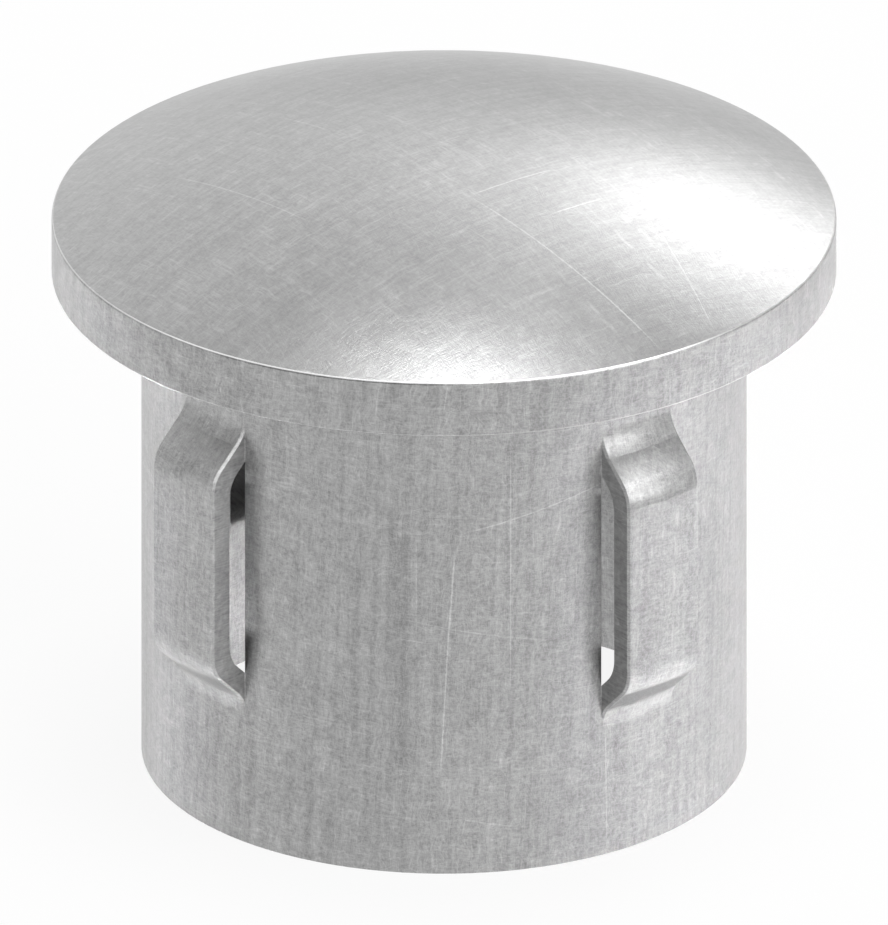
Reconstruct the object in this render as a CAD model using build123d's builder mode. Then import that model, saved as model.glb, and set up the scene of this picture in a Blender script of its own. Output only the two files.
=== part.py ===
from build123d import *
from math import cos, radians, sin, tan
import os

# Steel tube end cap, in millimetres. The origin is on the axis, in the plane of the seat:
# the flat underside of the head, which lies on the end of the tube. +Z points out of the
# tube, through the middle of the dome. The four spring lugs stand on the X and Y axes.

# The round tube that the cap closes
tube_diameter = 42.4
tube_wall = 2.6

# Head: a straight collar, flush with the tube, under a shallow dome
collar_height = 3.15
dome_rise = 5.0
top_rim_radius = 0.15
lower_rim_chamfer = 0.06

# Sleeve: clear of the tube's bore all round. From the seat down it is a plain band, the
# length of the lugs, and a plain band at the foot.
sleeve_clearance = 2.25
sleeve_wall = 1.2
upper_band = 3.95
lower_band = 8.4
ceiling_corner_chamfer = 1.0

# Spring lugs: strips of the sleeve's wall, cut free along both sides and pressed out
lug_count = 4
lug_width = 5.0
lug_length = 16.0
lug_interference = 0.02
ramp_angle = 45.0
bend_radius = 2.0
lug_edge_chamfer = 0.12

# Radii from the axis. The lugs' crowns bear on the tube's bore.
head_radius = tube_diameter / 2
tube_bore_radius = head_radius - tube_wall
crown_radius = tube_bore_radius + lug_interference
sleeve_radius = tube_bore_radius - sleeve_clearance
bore_radius = sleeve_radius - sleeve_wall

# The dome is a part of a ball that meets the collar's top edge
dome_radius = (head_radius**2 + dome_rise**2) / (2 * dome_rise)

# Heights from the seat
dome_top = collar_height + dome_rise
lug_top = -upper_band
lug_middle = lug_top - lug_length / 2
foot = lug_top - lug_length - lower_band

# The midway plane between two lugs, on which the turned section is drawn
section_plane = Plane(origin=(0, 0, 0), x_dir=(1, 1, 0), z_dir=(1, -1, 0))


def strip_face(root_radius, root_height, root_bend):
    """One face of the pressed strip, from its root down to the middle of its crown."""
    slope = radians(ramp_angle)
    taken_by_bends = (root_bend + bend_radius) * (1 - cos(slope))
    ramp_length = (crown_radius - sleeve_radius - taken_by_bends) / sin(slope)
    root = JernArc((root_radius, root_height), (0, -1), root_bend, ramp_angle)
    ramp = PolarLine(root @ 1, ramp_length, ramp_angle - 90)
    crown_bend = JernArc(ramp @ 1, ramp % 1, bend_radius, -ramp_angle)
    Line(crown_bend @ 1, ((crown_bend @ 1).X, lug_middle))
    return root @ 0


def block_across_lug(height, mode):
    """A block as wide as a lug, from the axis out past the crown on the +X side."""
    Box(head_radius, lug_width, height, align=(Align.MIN, Align.CENTER, Align.CENTER), mode=mode)


# One lug: a band of the wall's thickness, turned about the axis and trimmed to its width.
# Its outer face leaves the sleeve above the end of the side cuts, and its inner face
# leaves the bore just where they end. Its long outer edges are eased.
outer_root_height = lug_top + bend_radius * tan(radians(ramp_angle / 2))
with BuildPart() as lug:
    with BuildSketch(Plane.YZ):
        with BuildLine():
            outer_root = strip_face(sleeve_radius, outer_root_height, bend_radius)
            inner_root = strip_face(bore_radius, lug_top, sleeve_wall)
            Line(outer_root, inner_root)
            mirror(about=Plane.XZ.offset(-lug_middle))
        make_face()
    revolve(axis=Axis.Z)
    with Locations((0, 0, lug_middle)):
        block_across_lug(-foot, Mode.INTERSECT)
    chamfer(lug.edges().filter_by(Axis.Z).sort_by(Axis.X)[-2:], length=lug_edge_chamfer)

# The cap: head and sleeve are one turned body, closed by the head and open at the foot.
# The ball that rounds its top lies on its side, so that both its poles are clear of the dome.
# Each lug takes the place of the piece of wall that it was pressed from.
with BuildPart() as end_cap:
    with BuildSketch(section_plane) as section:
        with BuildLine():
            Polyline(
                (0, dome_top),
                (0, 0),
                (bore_radius, 0),
                (bore_radius, foot),
                (sleeve_radius, foot),
                (sleeve_radius, 0),
                (head_radius, 0),
                (head_radius, dome_top),
                close=True,
            )
        make_face()
        ceiling_corner = section.vertices().sort_by_distance((bore_radius, 0))[0]
        chamfer(ceiling_corner, length=ceiling_corner_chamfer)
        lower_rim = section.vertices().sort_by_distance((head_radius, 0))[0]
        chamfer(lower_rim, length=lower_rim_chamfer)
    revolve(axis=Axis.Z)
    with Locations((0, 0, dome_top - dome_radius)):
        Sphere(dome_radius, rotation=(90, 0, 0), mode=Mode.INTERSECT)
    fillet(end_cap.edges().group_by(Axis.Z)[-1], radius=top_rim_radius)
    with Locations((0, 0, lug_middle)):
        with PolarLocations(0, lug_count):
            block_across_lug(lug_length, Mode.SUBTRACT)
    with PolarLocations(0, lug_count):
        add(lug.part)

end_cap.part.label = "end_cap"

os.makedirs("parts", exist_ok=True)
export_step(end_cap.part, "parts/end_cap.step")
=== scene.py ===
import math

import bpy
from bpy.props import FloatProperty, PointerProperty
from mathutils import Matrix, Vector


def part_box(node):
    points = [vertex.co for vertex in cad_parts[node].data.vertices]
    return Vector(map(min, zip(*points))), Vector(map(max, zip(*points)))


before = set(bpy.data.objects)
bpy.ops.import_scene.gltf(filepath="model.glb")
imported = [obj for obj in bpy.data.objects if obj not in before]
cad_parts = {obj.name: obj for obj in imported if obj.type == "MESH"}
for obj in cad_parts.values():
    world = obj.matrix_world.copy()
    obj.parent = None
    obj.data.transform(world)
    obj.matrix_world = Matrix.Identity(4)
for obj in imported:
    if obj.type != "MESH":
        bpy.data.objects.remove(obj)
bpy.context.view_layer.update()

bl_info = {
    "name": "Steel tube end cap",
    "version": (1, 0, 0),
    "blender": (4, 5, 0),
    "location": "View3D > Sidebar > End Cap",
    "description": "Gives a knock-in tube end cap its scratched bare steel and a white studio",
    "category": "Object",
}

CAP_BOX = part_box("end_cap")

UP = Vector((0, 0, 1))
MILLIMETRE = 0.001

# Radii of the cap in millimetres: the sleeve, the head's collar, and the ball that rounds
# the dome
SLEEVE = 16.35
COLLAR = 21.2
DOME_BALL = 47.444

# Distance from the cap at which the camera and the lamps stand, in metres
STAND_OFF = 0.3

# Half the floor's width, in metres
FLOOR_REACH = 1.0

# How white the surroundings are in the steel's reflections; for the camera they are 1
MIRRORED_WHITE = 0.8

# Soft lamps: name, turn from straight behind the cap to the right, height, both in
# degrees as the camera sees them, and the lamp's width in degrees. The floor is a light
# table, which lets through the lamps that stand below it.
LAMPS = (
    ("top_lamp", 42, 87, 19),
    ("back_lamp", 25, 31, 25),
    ("back_wide_lamp", 20, 28, 45),
    ("back_high_lamp", 14, 43, 28),
    ("left_lamp", 330, 25, 60),
    ("right_lamp", 105, 46, 25),
    ("front_lamp", 140, 14, 70),
    ("table_back_lamp", 5, -38, 24),
    ("table_side_lamp", 50, -25, 45),
    ("table_right_lamp", 90, -60, 75),
    ("table_left_lamp", 310, -51, 60),
)

# Directions of the fine marks, in degrees from upright on the sides and from the Y axis on
# the dome, each with its weight. The first is close to upright, the second to level.
FIBRE_DIRECTIONS = ((2, 0.85), (91, 0.75), (18, 0.7), (110, 0.7), (-28, 0.7), (64, 0.7))

# Layers of marks: width and length against the settings, and seed
MARK_LAYERS = {
    "fine": (1.0, 1.0, 0.0),
    "long": (1.9, 3.5, 1.0),
    "bands": (7.0, 20.0, 4.0),
}

# Layers of clouds: size against the setting, detail and seed
CLOUD_LAYERS = {
    "specks": (0.25, 1.0, 5.0),
    "mottle": (1.0, 3.0, 2.0),
    "patches": (7.0, 3.0, 3.0),
}

# How far a layer moves for each step of its seed, in metres, and how far apart the
# directions of one layer are in the noise
SEED_STEP = (0.37, 0.71, 0.53)
DIRECTION_STEP = 7.3

# Drift of the marks: bends in a metre, and reach against the width of the fine marks
DRIFT_BENDS = 900.0
DRIFT_REACH = 5.0

# Height of the marks over which they turn bright
BRIGHT_MARKS = (0.12, 0.3)

# Hairlines: width as a share of the noise, and the mottle over which they come in
HAIRLINE_WIDTH = 0.03
HAIRLINE_MOTTLE = (-0.1, 0.1)

# Upright part of the normal over which a face comes to count as level
LEVEL_TILT = (0.68, 0.74)

# Least roughness of the steel: below it the picture's denoising makes specks
LEAST_ROUGHNESS = 0.285

# How much the eased normal is like the plain one, over which an edge comes in
EDGE_LIKENESS = (0.99, 0.85)

# Painted light lines round the head's top rim, a painted highlight and a painted dark line
# below it, by the upright part of the normal: the range over which each comes in and the
# range over which it goes out
HIGHLIGHT_TILT = ((0.48, 0.6), (0.9, 0.88))
SHADE_LINE_TILT = ((0.05, 0.12), (0.48, 0.4))

# The side of the head towards the camera, where the painted rim lines are strongest, as
# parts to the camera's right and away from it; how near to it, as a cosine, the lines come
# in; and the share of the painted highlight that goes all round
HIGHLIGHT_SIDE = (-0.16, -0.99)
HIGHLIGHT_NEAR = (0.6, 0.88)
SHADE_LINE_NEAR = (0.86, 0.96)
HIGHLIGHT_ALL_ROUND = 0.3

# Heights over which the painted highlight on the collar's lower edge comes in, and how far
# in from the collar's face the painted rim lines go, in metres
LOWER_HIGHLIGHT = (0.00011, 0.00007)
RIM_REACH = 0.0002

# Long scratches: the share of the width and of the length at full strength, and how the
# specks thin them out, from one range to the other
SCRATCH_CORE = 0.3
SCRATCH_BODY = 0.7
SCRATCH_WAVER = (-0.2, 0.1, 0.6, 1.0)

# Long scratches on the dome, as (x, y) of both ends in millimetres, seen from above with
# x to the camera's right and y away from it; then width in millimetres and strength
DOME_SCRATCHES = (
    ((1.3, -6.8), (12.0, -17.5), 0.06, 0.65),
    ((1.4, -6.8), (6.0, -3.4), 0.06, 0.8),
    ((5.8, -8.0), (8.6, -5.8), 0.06, 0.8),
    ((-14.8, -0.4), (-7.2, -8.5), 0.05, 0.5),
    ((-8.8, 4.2), (-6.2, 1.3), 0.05, 0.5),
    ((11.7, -8.0), (14.6, -14.8), 0.06, 0.5),
)

# Long scratches on the upright sides, as (x to the camera's right, height) of both ends
# in millimetres, the radius of the side that they are on, width and strength
SIDE_SCRATCHES = (
    ((0.6, -8.9), (0.25, -14.4), SLEEVE, 0.07, 0.7),
    ((0.35, -11.9), (-0.2, -22.7), SLEEVE, 0.055, 0.7),
    ((9.0, -6.03), (0.9, -8.1), SLEEVE, 0.06, 0.55),
    ((-2.9, -13.1), (5.8, -14.9), SLEEVE, 0.05, 0.35),
    ((0.8, -25.1), (4.1, -25.8), SLEEVE, 0.05, 0.4),
    ((3.6, -2.4), (3.6, -17.7), SLEEVE, 0.06, 0.5),
    ((8.7, -20.3), (8.8, -28.1), SLEEVE, 0.06, 0.4),
    ((-1.5, -8.0), (-1.5, -15.5), SLEEVE, 0.05, 0.35),
    ((-2.5, -14.4), (-1.0, -14.6), SLEEVE, 0.05, 0.5),
    ((-3.5, 3.0), (-3.7, 1.1), COLLAR, 0.06, 0.5),
    ((0.2, 3.1), (0.0, 1.5), COLLAR, 0.06, 0.5),
)

# Darker upright bands on the sleeve, given as the scratches are
SIDE_BANDS = (
    ((-2.5, -5.5), (-2.5, -24.0), SLEEVE, 0.9, 0.14),
    ((-4.8, -9.5), (-4.8, -24.0), SLEEVE, 0.5, 0.10),
)


class CapSteelSettings(bpy.types.PropertyGroup):
    """The cap's bare steel"""

    brightness: FloatProperty(
        name="Brightness", description="How light the bare steel is",
        default=0.357, min=0.0, max=1.0,
    )
    roughness: FloatProperty(
        name="Roughness", description="How far the steel blurs what it mirrors",
        default=0.30, min=0.0, max=1.0,
    )
    fibre_width: FloatProperty(
        name="Fibre Width", description="Width of the fine crossed marks",
        default=0.00006, unit="LENGTH",
    )
    fibre_length: FloatProperty(
        name="Fibre Length", description="Length of the fine crossed marks",
        default=0.0012, unit="LENGTH",
    )
    fibre_depth: FloatProperty(
        name="Fibre Depth", description="Depth of the fine crossed marks",
        default=0.0000045, unit="LENGTH",
    )
    edge_width: FloatProperty(
        name="Edge Width", description="Width of the eased, brighter edges",
        default=0.00006, unit="LENGTH",
    )
    dome_contrast: FloatProperty(
        name="Dome Contrast",
        description="How clearly the skin shows on the dome, against the sides",
        default=0.5, min=0.0, max=1.0,
    )
    cloud_size: FloatProperty(
        name="Cloud Size", description="Size of the cloudy patches",
        default=0.0009, unit="LENGTH",
    )
    scratch_strength: FloatProperty(
        name="Scratch Strength", description="How clearly the long scratches show",
        default=1.0, min=0.0, max=2.0,
    )


class StageSettings(bpy.types.PropertyGroup):
    """The camera, the lamps and the white surroundings"""

    view_turn: FloatProperty(
        name="View Turn", description="Camera's turn round the cap",
        default=math.radians(49.9), subtype="ANGLE",
    )
    view_height: FloatProperty(
        name="View Height", description="Camera's height above level",
        default=math.radians(25.16), subtype="ANGLE",
    )
    view_size: FloatProperty(
        name="View Size", description="Height of the picture at the cap",
        default=0.04996, unit="LENGTH",
    )
    aim_height: FloatProperty(
        name="Aim Height", description="Height that the camera looks at",
        default=-0.01149, unit="LENGTH",
    )
    floor_glow: FloatProperty(
        name="Floor Glow",
        description="Share of the floor that is plain white whatever the light",
        default=0.9, min=0.0, max=1.0,
    )
    room_light: FloatProperty(
        name="Room Light", description="Even light from all round",
        default=0.4, min=0.0,
    )
    top_lamp: FloatProperty(
        name="Top Lamp", description="Strength of the lamp above",
        default=0.82, min=0.0,
    )
    back_lamp: FloatProperty(
        name="Back Lamp", description="Strength of the lamp behind",
        default=0.39, min=0.0,
    )
    back_wide_lamp: FloatProperty(
        name="Back Wide Lamp", description="Strength of the wide lamp behind",
        default=0.11, min=0.0,
    )
    back_high_lamp: FloatProperty(
        name="Back High Lamp", description="Strength of the high lamp behind",
        default=0.12, min=0.0,
    )
    left_lamp: FloatProperty(
        name="Left Lamp", description="Strength of the lamp at the left",
        default=0.28, min=0.0,
    )
    right_lamp: FloatProperty(
        name="Right Lamp", description="Strength of the high lamp at the right",
        default=0.42, min=0.0,
    )
    front_lamp: FloatProperty(
        name="Front Lamp", description="Strength of the low lamp in front, to the right",
        default=2.0, min=0.0,
    )
    table_back_lamp: FloatProperty(
        name="Table Back Lamp",
        description="Strength of the lamp under the back of the table",
        default=1.1, min=0.0,
    )
    table_side_lamp: FloatProperty(
        name="Table Side Lamp", description="Strength of the lamp beside the table",
        default=0.21, min=0.0,
    )
    table_right_lamp: FloatProperty(
        name="Table Right Lamp",
        description="Strength of the lamp under the right of the table",
        default=1.2, min=0.0,
    )
    table_left_lamp: FloatProperty(
        name="Table Left Lamp",
        description="Strength of the lamp under the left of the table",
        default=0.35, min=0.0,
    )


def connect(tree, value, socket):
    """Gives an input its value, from another node's socket or as a plain value."""
    if isinstance(value, bpy.types.NodeSocket):
        tree.links.new(value, socket)
    else:
        socket.default_value = value


def calculate(tree, operation, *values):
    """A Math node on sockets or plain numbers; gives its output socket."""
    node = tree.nodes.new("ShaderNodeMath")
    node.operation = operation
    for socket, value in zip(node.inputs, values):
        connect(tree, value, socket)
    return node.outputs[0]


def calculate_vector(tree, operation, *values):
    """A Vector Math node on sockets or plain vectors; gives its output socket."""
    node = tree.nodes.new("ShaderNodeVectorMath")
    node.operation = operation
    for socket, value in zip(node.inputs, values):
        connect(tree, value, socket)
    return node.outputs["Value" if operation in {"DOT_PRODUCT", "LENGTH"} else "Vector"]


def scale_vector(tree, vector, factor):
    """A vector times a number."""
    scaled = calculate_vector(tree, "SCALE", vector)
    connect(tree, factor, scaled.node.inputs["Scale"])
    return scaled


def split_vector(tree, vector):
    """The X, Y and Z of a vector."""
    node = tree.nodes.new("ShaderNodeSeparateXYZ")
    connect(tree, vector, node.inputs[0])
    return tuple(node.outputs)


def combine_vector(tree, x, y):
    """A vector from its X and Y, with a Z of 0."""
    node = tree.nodes.new("ShaderNodeCombineXYZ")
    connect(tree, x, node.inputs["X"])
    connect(tree, y, node.inputs["Y"])
    return node.outputs[0]


def rescale(tree, value, low, high, new_low=0.0, new_high=1.0):
    """Takes values from one range to another, held at its ends."""
    node = tree.nodes.new("ShaderNodeMapRange")
    for name, setting in (
        ("Value", value), ("From Min", low), ("From Max", high),
        ("To Min", new_low), ("To Max", new_high),
    ):
        connect(tree, setting, node.inputs[name])
    return node.outputs["Result"]


def within(tree, value, rise, fall):
    """1 between two ranges of a value, over which it comes in and goes out again."""
    return calculate(tree, "MULTIPLY", rescale(tree, value, *rise), rescale(tree, value, *fall))


def blend_values(tree, share, first, second):
    """First where the share is 0, second where it is 1."""
    node = tree.nodes.new("ShaderNodeMix")
    node.data_type = "FLOAT"
    for socket, value in zip(node.inputs[:1] + node.inputs[2:4], (share, first, second)):
        connect(tree, value, socket)
    return node.outputs["Result"]


def add_shares(tree, total, layers):
    """A total with a share of each layer added to it."""
    for layer, share in layers:
        total = calculate(tree, "MULTIPLY_ADD", layer, share, total)
    return total


def noise(tree, place, dimensions, detail=1.0, scale=1.0, roughness=0.5):
    """Cloudy noise at a place; gives the outputs of its node."""
    node = tree.nodes.new("ShaderNodeTexNoise")
    node.noise_dimensions = dimensions
    for name, setting in (
        ("Vector", place), ("Scale", scale), ("Detail", detail), ("Roughness", roughness),
    ):
        connect(tree, setting, node.inputs[name])
    return node.outputs


def centred(tree, value):
    """A noise value made even about 0."""
    return calculate(tree, "SUBTRACT", value, 0.5)


def hairline(tree, value):
    """Thin lines where a streaky value passes its middle."""
    from_middle = calculate(tree, "ABSOLUTE", centred(tree, value))
    return rescale(tree, from_middle, 0.0, HAIRLINE_WIDTH, 1.0, 0.0)


def place_on_cap(tree):
    """Place on the cap, in metres."""
    return tree.nodes.new("ShaderNodeTexCoord").outputs["Object"]


def move_by_seed(tree, place, seed):
    """A place moved by the seed, so that layers differ."""
    return calculate_vector(tree, "ADD", place, scale_vector(tree, SEED_STEP, seed))


def faces_up(tree):
    """1 on the dome and other level faces, 0 on the upright sides."""
    normal = tree.nodes.new("ShaderNodeNewGeometry").outputs["True Normal"]
    upright = split_vector(tree, normal)[2]
    return rescale(tree, calculate(tree, "ABSOLUTE", upright), *LEVEL_TILT)


def new_group(name, inputs, outputs):
    """A shader node group with named sockets; gives the group, its input and output nodes."""
    group = bpy.data.node_groups.new(name, "ShaderNodeTree")
    for socket_name, kind, default in inputs:
        socket = group.interface.new_socket(name=socket_name, in_out="INPUT", socket_type=kind)
        socket.default_value = default
    for socket_name, kind in outputs:
        group.interface.new_socket(name=socket_name, in_out="OUTPUT", socket_type=kind)
    return group, group.nodes.new("NodeGroupInput"), group.nodes.new("NodeGroupOutput")


def place_group(tree, group, **settings):
    """Puts a group in a node tree, with its own values."""
    node = tree.nodes.new("ShaderNodeGroup")
    node.node_tree = group
    for name, setting in settings.items():
        connect(tree, setting, node.inputs[name.replace("_", " ").title()])
    return node


def make_chart_group():
    """Flat chart of the cap's skin in metres, bent a little by a slow drift.

    The sides are unrolled round the axis, and level faces are seen from above.
    """
    group, start, end = new_group(
        "Skin Chart",
        (("Waver", "NodeSocketFloat", 0.0003),),
        (("Chart", "NodeSocketVector"),),
    )
    x, y, z = split_vector(group, place_on_cap(group))
    turn = calculate(group, "ARCTAN2", y, x)
    round_axis = calculate(group, "MULTIPLY", turn, SLEEVE * MILLIMETRE)
    up = faces_up(group)
    chart = combine_vector(
        group, blend_values(group, up, round_axis, x), blend_values(group, up, z, y)
    )
    drift = noise(group, chart, "2D", scale=DRIFT_BENDS)["Color"]
    drift = calculate_vector(group, "SUBTRACT", drift, (0.5, 0.5, 0.5))
    drift = scale_vector(group, drift, start.outputs["Waver"])
    group.links.new(calculate_vector(group, "ADD", chart, drift), end.inputs["Chart"])
    return group


def make_fibres_group():
    """Fine marks laid over each other in several directions.

    Upright and Level are the plain noise of the first two directions.
    """
    group, start, end = new_group(
        "Crossed Fibres",
        (
            ("Chart", "NodeSocketVector", (0.0, 0.0, 0.0)),
            ("Width", "NodeSocketFloat", 0.00006),
            ("Length", "NodeSocketFloat", 0.0012),
            ("Seed", "NodeSocketFloat", 0.0),
        ),
        (
            ("Fibres", "NodeSocketFloat"),
            ("Bright", "NodeSocketFloat"),
            ("Upright", "NodeSocketFloat"),
            ("Level", "NodeSocketFloat"),
        ),
    )
    chart = move_by_seed(group, start.outputs["Chart"], start.outputs["Seed"])
    across = calculate(group, "DIVIDE", 1.0, start.outputs["Width"])
    along = calculate(group, "DIVIDE", 1.0, start.outputs["Length"])
    total = 0.0
    highest = 0.0
    for number, (angle, weight) in enumerate(FIBRE_DIRECTIONS):
        turn = math.radians(angle)
        step = DIRECTION_STEP * number
        streak = []
        for direction, scale in (
            ((math.sin(turn), math.cos(turn), 0.0), along),
            ((math.cos(turn), -math.sin(turn), 0.0), across),
        ):
            distance = calculate_vector(group, "DOT_PRODUCT", chart, direction)
            streak.append(calculate(group, "MULTIPLY_ADD", distance, scale, step))
        layer = noise(group, combine_vector(group, *streak), "2D")["Fac"]
        if number < 2:
            group.links.new(layer, end.inputs[("Upright", "Level")[number]])
        value = centred(group, layer)
        total = calculate(group, "MULTIPLY_ADD", value, weight, total)
        height = calculate(group, "MULTIPLY", value, weight)
        highest = calculate(group, "MAXIMUM", highest, height)
    group.links.new(total, end.inputs["Fibres"])
    group.links.new(rescale(group, highest, *BRIGHT_MARKS), end.inputs["Bright"])
    return group


def make_clouds_group():
    """Cloudy patches of the bare steel's skin."""
    group, start, end = new_group(
        "Skin Clouds",
        (
            ("Size", "NodeSocketFloat", 0.0009),
            ("Detail", "NodeSocketFloat", 3.0),
            ("Seed", "NodeSocketFloat", 0.0),
        ),
        (("Clouds", "NodeSocketFloat"),),
    )
    place = move_by_seed(group, place_on_cap(group), start.outputs["Seed"])
    scale = calculate(group, "DIVIDE", 1.0, start.outputs["Size"])
    place = scale_vector(group, place, scale)
    clouds = noise(group, place, "3D", detail=start.outputs["Detail"], roughness=0.6)
    group.links.new(clouds["Fac"], end.inputs["Clouds"])
    return group


def make_edges_group():
    """Where a sharp edge is eased: 1 along edges, 0 on the faces. The mask also lays a painted
    highlight, partly edge wear, along the edges in the steel's colour.
    """
    group, start, end = new_group(
        "Eased Edges",
        (("Width", "NodeSocketFloat", 0.0001),),
        (("Edges", "NodeSocketFloat"), ("Normal", "NodeSocketVector")),
    )
    bevel = group.nodes.new("ShaderNodeBevel")
    bevel.samples = 3
    group.links.new(start.outputs["Width"], bevel.inputs["Radius"])
    eased = bevel.outputs["Normal"]
    normal = group.nodes.new("ShaderNodeNewGeometry").outputs["Normal"]
    likeness = calculate_vector(group, "DOT_PRODUCT", eased, normal)
    group.links.new(rescale(group, likeness, *EDGE_LIKENESS), end.inputs["Edges"])
    group.links.new(eased, end.inputs["Normal"])
    return group


def make_painted_rim_group():
    """Painted light lines on the head's rims.

    The outputs are a painted highlight line on the top rim, strongest on the side towards
    the camera, a painted dark line below it, and a painted highlight along the collar's
    lower edge.
    """
    group, start, end = new_group(
        "Worn Rims",
        (
            ("Radius", "NodeSocketFloat", 0.0212),
            ("Reach", "NodeSocketFloat", 0.0002),
            ("Worn Side", "NodeSocketVector", (1.0, 0.0, 0.0)),
        ),
        (
            ("Bright", "NodeSocketFloat"),
            ("Dull", "NodeSocketFloat"),
            ("Lower", "NodeSocketFloat"),
        ),
    )
    place = place_on_cap(group)
    level_place = calculate_vector(group, "MULTIPLY", place, (1.0, 1.0, 0.0))
    from_axis = calculate_vector(group, "LENGTH", level_place)
    inner = calculate(group, "SUBTRACT", start.outputs["Radius"], start.outputs["Reach"])
    outer = calculate(group, "GREATER_THAN", from_axis, inner)
    normal = group.nodes.new("ShaderNodeNewGeometry").outputs["Normal"]
    tilt = split_vector(group, normal)[2]
    heading = calculate_vector(group, "NORMALIZE", place)
    near = calculate_vector(group, "DOT_PRODUCT", heading, start.outputs["Worn Side"])
    highlit = rescale(group, near, *HIGHLIGHT_NEAR, HIGHLIGHT_ALL_ROUND, 1.0)
    shaded = rescale(group, near, *SHADE_LINE_NEAR)
    height = split_vector(group, place)[2]
    for name, line, lit_share in (
        ("Bright", within(group, tilt, *HIGHLIGHT_TILT), highlit),
        ("Dull", within(group, tilt, *SHADE_LINE_TILT), shaded),
        ("Lower", rescale(group, height, *LOWER_HIGHLIGHT), 1.0),
    ):
        lit_share = calculate(group, "MULTIPLY", lit_share, outer)
        group.links.new(calculate(group, "MULTIPLY", line, lit_share), end.inputs[name])
    return group


def make_scratch_group():
    """One long straight scratch, from its middle and the direction across it."""
    group, start, end = new_group(
        "Long Scratch",
        (
            ("Middle", "NodeSocketVector", (0.0, 0.0, 0.0)),
            ("Across", "NodeSocketVector", (0.0, 1.0, 0.0)),
            ("Length", "NodeSocketFloat", 0.01),
            ("Width", "NodeSocketFloat", 0.00006),
            ("Waver", "NodeSocketFloat", 1.0),
            ("Strength", "NodeSocketFloat", 1.0),
        ),
        (("Scratch", "NodeSocketFloat"),),
    )
    offset = calculate_vector(group, "SUBTRACT", place_on_cap(group), start.outputs["Middle"])
    aside = calculate_vector(group, "DOT_PRODUCT", offset, start.outputs["Across"])
    aside = calculate(group, "ABSOLUTE", aside)
    # The scratch thins out in places
    width = calculate(group, "MULTIPLY", start.outputs["Width"], start.outputs["Waver"])
    core = calculate(group, "MULTIPLY", width, SCRATCH_CORE)
    line = rescale(group, aside, core, width, 1.0, 0.0)
    far = calculate_vector(group, "LENGTH", offset)
    half = calculate(group, "MULTIPLY", start.outputs["Length"], 0.5)
    body = calculate(group, "MULTIPLY", half, SCRATCH_BODY)
    reach = rescale(group, far, body, half, 1.0, 0.0)
    shape = calculate(group, "MULTIPLY", line, reach)
    shape = calculate(group, "MULTIPLY", shape, start.outputs["Strength"])
    group.links.new(shape, end.inputs["Scratch"])
    return group


def view_directions():
    """The camera's right, and level away from it."""
    turn = bpy.context.scene.end_cap_stage.view_turn
    right = Vector((math.cos(turn), math.sin(turn), 0))
    away = Vector((-math.sin(turn), math.cos(turn), 0))
    return right, away


def dome_lines(lines):
    """Both ends of each line on the dome, the way the dome faces, width and strength."""
    right, away = view_directions()
    top = UP * CAP_BOX[1].z
    for *ends, width, strength in lines:
        first, second = (
            (right * x + away * y - UP * (x * x + y * y) / (2 * DOME_BALL)) * MILLIMETRE + top
            for x, y in ends
        )
        yield first, second, UP, width * MILLIMETRE, strength


def side_lines(lines):
    """Both ends of each line on a side, the way the side faces there, width and strength."""
    right, away = view_directions()
    for *ends, radius, width, strength in lines:
        first, second = (
            (right * x - away * math.sqrt(radius * radius - x * x) + UP * z) * MILLIMETRE
            for x, z in ends
        )
        facing = (first + second) / 2
        facing.z = 0
        yield first, second, facing.normalized(), width * MILLIMETRE, strength


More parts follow.
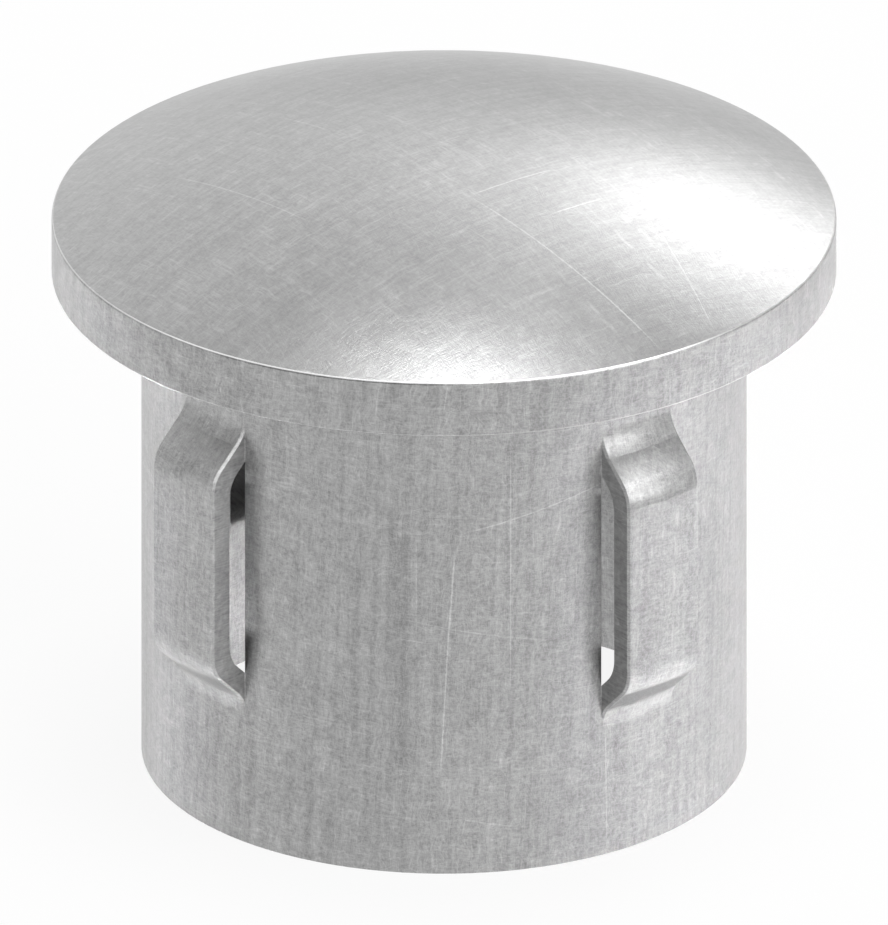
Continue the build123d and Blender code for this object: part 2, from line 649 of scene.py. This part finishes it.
class EndCapSteel(bpy.types.Operator):
    """Give the cap its bare steel: cloudy, with fine crossed marks and long scratches"""

    bl_idname = "end_cap.make_steel"
    bl_label = "Make Bare Steel"

    def execute(self, context):
        settings = context.scene.end_cap_steel
        material = bpy.data.materials.new("bare_scratched_steel")
        material.use_nodes = True
        tree = material.node_tree
        shader = tree.nodes["Principled BSDF"]
        shader.inputs["Metallic"].default_value = 1.0

        marks = self.make_marks(tree, settings)
        clouds = self.make_clouds(tree, settings)
        scratches, darker_bands = self.make_scratches(tree, settings, clouds["specks"])
        edges = place_group(tree, make_edges_group(), width=settings.edge_width).outputs
        right, away = view_directions()
        # Painted highlight and painted dark lines round the head's rims, strongest towards the
        # camera
        rim = place_group(
            tree, make_painted_rim_group(), radius=CAP_BOX[1].x, reach=RIM_REACH,
            worn_side=right * HIGHLIGHT_SIDE[0] + away * HIGHLIGHT_SIDE[1],
        ).outputs

        # Hairlines: thin contours of the broadest marks, here and there
        hairs = calculate(
            tree, "MAXIMUM",
            hairline(tree, marks["bands"]["Upright"]), hairline(tree, marks["bands"]["Level"]),
        )
        here = rescale(tree, clouds["mottle"], *HAIRLINE_MOTTLE)
        hairs = calculate(tree, "MULTIPLY", hairs, here)

        # The skin's own tone, calmer on the dome than on the sides
        skin = add_shares(tree, 0.0, (
            (marks["fine"]["Fibres"], 0.28),
            (marks["fine"]["Bright"], 0.16),
            (marks["long"]["Fibres"], 0.15),
            (centred(tree, marks["bands"]["Upright"]), 0.3),
            (clouds["specks"], 0.5),
            (clouds["mottle"], 0.33),
            (clouds["patches"], 0.25),
        ))
        contrast = rescale(tree, faces_up(tree), 0.0, 1.0, 1.0, settings.dome_contrast)
        tone = add_shares(tree, 1.0, (
            (skin, contrast),
            (hairs, 0.18),
            (darker_bands, -1.0),
            (scratches, 0.6),
            # Painted highlight along the eased edges, partly edge wear
            (edges["Edges"], 0.35),
            # Painted highlight line on the top rim, painted dark line below it, painted
            # highlight on the collar's lower edge
            (rim["Bright"], 1.9),
            (rim["Dull"], -0.5),
            (rim["Lower"], 0.38),
        ))
        brightness = calculate(tree, "MULTIPLY", tone, settings.brightness)
        colour = tree.nodes.new("ShaderNodeCombineColor")
        for socket in colour.inputs:
            tree.links.new(brightness, socket)
        tree.links.new(colour.outputs[0], shader.inputs["Base Color"])

        roughness = add_shares(tree, settings.roughness, ((clouds["patches"], 0.1),))
        roughness = calculate(tree, "MAXIMUM", roughness, LEAST_ROUGHNESS)
        roughness = add_shares(tree, roughness, ((scratches, 0.15), (edges["Edges"], 0.2)))
        tree.links.new(roughness, shader.inputs["Roughness"])

        bump = tree.nodes.new("ShaderNodeBump")
        bump.inputs["Strength"].default_value = 1.0
        bump.inputs["Distance"].default_value = settings.fibre_depth
        tree.links.new(marks["fine"]["Fibres"], bump.inputs["Height"])
        tree.links.new(edges["Normal"], bump.inputs["Normal"])
        tree.links.new(bump.outputs["Normal"], shader.inputs["Normal"])

        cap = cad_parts["end_cap"]
        cap.data.materials.clear()
        cap.data.materials.append(material)
        return {"FINISHED"}

    def make_marks(self, tree, settings):
        """The outputs of each layer of marks."""
        drift = place_group(
            tree, make_chart_group(), waver=settings.fibre_width * DRIFT_REACH
        )
        group = make_fibres_group()
        return {
            name: place_group(
                tree, group, chart=drift.outputs["Chart"],
                width=settings.fibre_width * width, length=settings.fibre_length * length,
                seed=seed,
            ).outputs
            for name, (width, length, seed) in MARK_LAYERS.items()
        }

    def make_clouds(self, tree, settings):
        """The value of each layer of clouds, even about 0."""
        group = make_clouds_group()
        clouds = {}
        for name, (size, detail, seed) in CLOUD_LAYERS.items():
            layer = place_group(
                tree, group, size=settings.cloud_size * size, detail=detail, seed=seed
            )
            clouds[name] = centred(tree, layer.outputs["Clouds"])
        return clouds

    def make_scratches(self, tree, settings, specks):
        """Masks of the long scratches and of the darker bands."""
        group = make_scratch_group()
        waver = rescale(tree, specks, *SCRATCH_WAVER)
        masks = []
        for operation, lines in (
            ("MAXIMUM", (*dome_lines(DOME_SCRATCHES), *side_lines(SIDE_SCRATCHES))),
            ("ADD", side_lines(SIDE_BANDS)),
        ):
            mask = 0.0
            for first, second, facing, width, strength in lines:
                along = (second - first).normalized()
                line = place_group(
                    tree, group, middle=(first + second) / 2,
                    across=facing.cross(along).normalized(), length=(second - first).length,
                    width=width, waver=waver, strength=strength * settings.scratch_strength,
                )
                mask = calculate(tree, operation, mask, line.outputs["Scratch"])
            masks.append(mask)
        return masks


class EndCapStage(bpy.types.Operator):
    """Set up the white floor and surroundings, the soft lamps and the camera"""

    bl_idname = "end_cap.make_stage"
    bl_label = "Make White Studio"

    def execute(self, context):
        settings = context.scene.end_cap_stage
        scene = context.scene
        self.make_floor(scene, settings)
        self.make_surroundings(scene, settings)
        self.make_lamps(scene, settings)
        self.make_camera(scene, settings)
        scene.view_settings.view_transform = "Standard"
        return {"FINISHED"}

    def white_for_eyes_and_mirrors(self, tree):
        """1 for rays from the camera, metal or glass, 0 for the light that falls on things."""
        path = tree.nodes.new("ShaderNodeLightPath").outputs
        seen = calculate(tree, "MAXIMUM", path["Is Camera Ray"], path["Is Glossy Ray"])
        return calculate(tree, "MAXIMUM", seen, path["Is Transmission Ray"])

    def mix_shaders(self, tree, share, first, second):
        """A node's shader where the share is 0, another's where it is 1; gives the new node."""
        mix = tree.nodes.new("ShaderNodeMixShader")
        for socket, value in zip(mix.inputs, (share, first.outputs[0], second.outputs[0])):
            tree.links.new(value, socket)
        return mix

    def make_floor(self, scene, settings):
        reach, height = FLOOR_REACH, CAP_BOX[0].z
        corners = ((-reach, -reach), (reach, -reach), (reach, reach), (-reach, reach))
        mesh = bpy.data.meshes.new("floor")
        mesh.from_pydata([(x, y, height) for x, y in corners], [], [(0, 1, 2, 3)])
        floor = bpy.data.objects.new("floor", mesh)
        scene.collection.objects.link(floor)
        floor.visible_shadow = False

        material = bpy.data.materials.new("white_floor")
        material.use_nodes = True
        tree = material.node_tree
        tree.nodes.clear()
        output = tree.nodes.new("ShaderNodeOutputMaterial")
        diffuse = tree.nodes.new("ShaderNodeBsdfDiffuse")
        diffuse.inputs["Color"].default_value = (0.95, 0.95, 0.95, 1.0)
        white = tree.nodes.new("ShaderNodeEmission")
        seen = self.white_for_eyes_and_mirrors(tree)
        share = calculate(tree, "MULTIPLY", seen, settings.floor_glow)
        table = self.mix_shaders(tree, share, diffuse, white)
        # From below the floor is clear glass, so that the cap's underside can be seen
        clear = tree.nodes.new("ShaderNodeBsdfTransparent")
        below = tree.nodes.new("ShaderNodeNewGeometry").outputs["Backfacing"]
        surface = self.mix_shaders(tree, below, table, clear)
        tree.links.new(surface.outputs[0], output.inputs["Surface"])
        mesh.materials.append(material)

    def make_surroundings(self, scene, settings):
        world = bpy.data.worlds.new("white_surroundings")
        scene.world = world
        world.use_nodes = True
        tree = world.node_tree
        tree.nodes.clear()
        output = tree.nodes.new("ShaderNodeOutputWorld")
        room = tree.nodes.new("ShaderNodeBackground")
        room.inputs["Strength"].default_value = settings.room_light
        # Plain white for the camera, a little less in the steel's reflections
        white = tree.nodes.new("ShaderNodeBackground")
        white.inputs["Color"].default_value = (1.0, 1.0, 1.0, 1.0)
        camera_ray = tree.nodes.new("ShaderNodeLightPath").outputs["Is Camera Ray"]
        strength = rescale(tree, camera_ray, 0.0, 1.0, MIRRORED_WHITE, 1.0)
        tree.links.new(strength, white.inputs["Strength"])
        surface = self.mix_shaders(tree, self.white_for_eyes_and_mirrors(tree), room, white)
        tree.links.new(surface.outputs[0], output.inputs["Surface"])
        # The white is found by the mirrored rays themselves, never by aimed samples
        world.cycles.sampling_method = "NONE"

    def make_lamps(self, scene, settings):
        right, away = view_directions()
        for name, azimuth, height, width in LAMPS:
            azimuth, height = math.radians(azimuth), math.radians(height)
            level = away * math.cos(azimuth) + right * math.sin(azimuth)
            direction = level * math.cos(height) + UP * math.sin(height)
            data = bpy.data.lights.new(name, "SUN")
            data.energy = getattr(settings, name)
            data.angle = math.radians(width)
            # Under the table only aimed samples pass the floor
            data.cycles.use_multiple_importance_sampling = height > 0
            lamp = bpy.data.objects.new(name, data)
            lamp.location = direction * STAND_OFF
            lamp.rotation_euler = direction.to_track_quat("Z", "Y").to_euler()
            scene.collection.objects.link(lamp)

    def make_camera(self, scene, settings):
        away = view_directions()[1]
        height = settings.view_height
        back = UP * math.sin(height) - away * math.cos(height)
        data = bpy.data.cameras.new("camera")
        data.type = "ORTHO"
        data.ortho_scale = settings.view_size
        camera = bpy.data.objects.new("camera", data)
        camera.location = UP * settings.aim_height + back * STAND_OFF
        camera.rotation_euler = (-back).to_track_quat("-Z", "Y").to_euler()
        scene.collection.objects.link(camera)
        scene.camera = camera


class EndCapPanel(bpy.types.Panel):
    """The cap's settings and steps"""

    bl_idname = "VIEW3D_PT_end_cap"
    bl_label = "End Cap"
    bl_space_type = "VIEW_3D"
    bl_region_type = "UI"
    bl_category = "End Cap"

    def draw(self, context):
        layout = self.layout
        for settings, step in (
            (context.scene.end_cap_steel, EndCapSteel.bl_idname),
            (context.scene.end_cap_stage, EndCapStage.bl_idname),
        ):
            column = layout.column(align=True)
            for name in settings.__annotations__:
                column.prop(settings, name)
            layout.operator(step)


CLASSES = (CapSteelSettings, StageSettings, EndCapSteel, EndCapStage, EndCapPanel)


def register():
    for item in CLASSES:
        bpy.utils.register_class(item)
    bpy.types.Scene.end_cap_steel = PointerProperty(type=CapSteelSettings)
    bpy.types.Scene.end_cap_stage = PointerProperty(type=StageSettings)


def unregister():
    del bpy.types.Scene.end_cap_stage
    del bpy.types.Scene.end_cap_steel
    for item in reversed(CLASSES):
        bpy.utils.unregister_class(item)


def main():
    register()
    bpy.ops.end_cap.make_steel()
    bpy.ops.end_cap.make_stage()


if __name__ == "__main__":
    main()
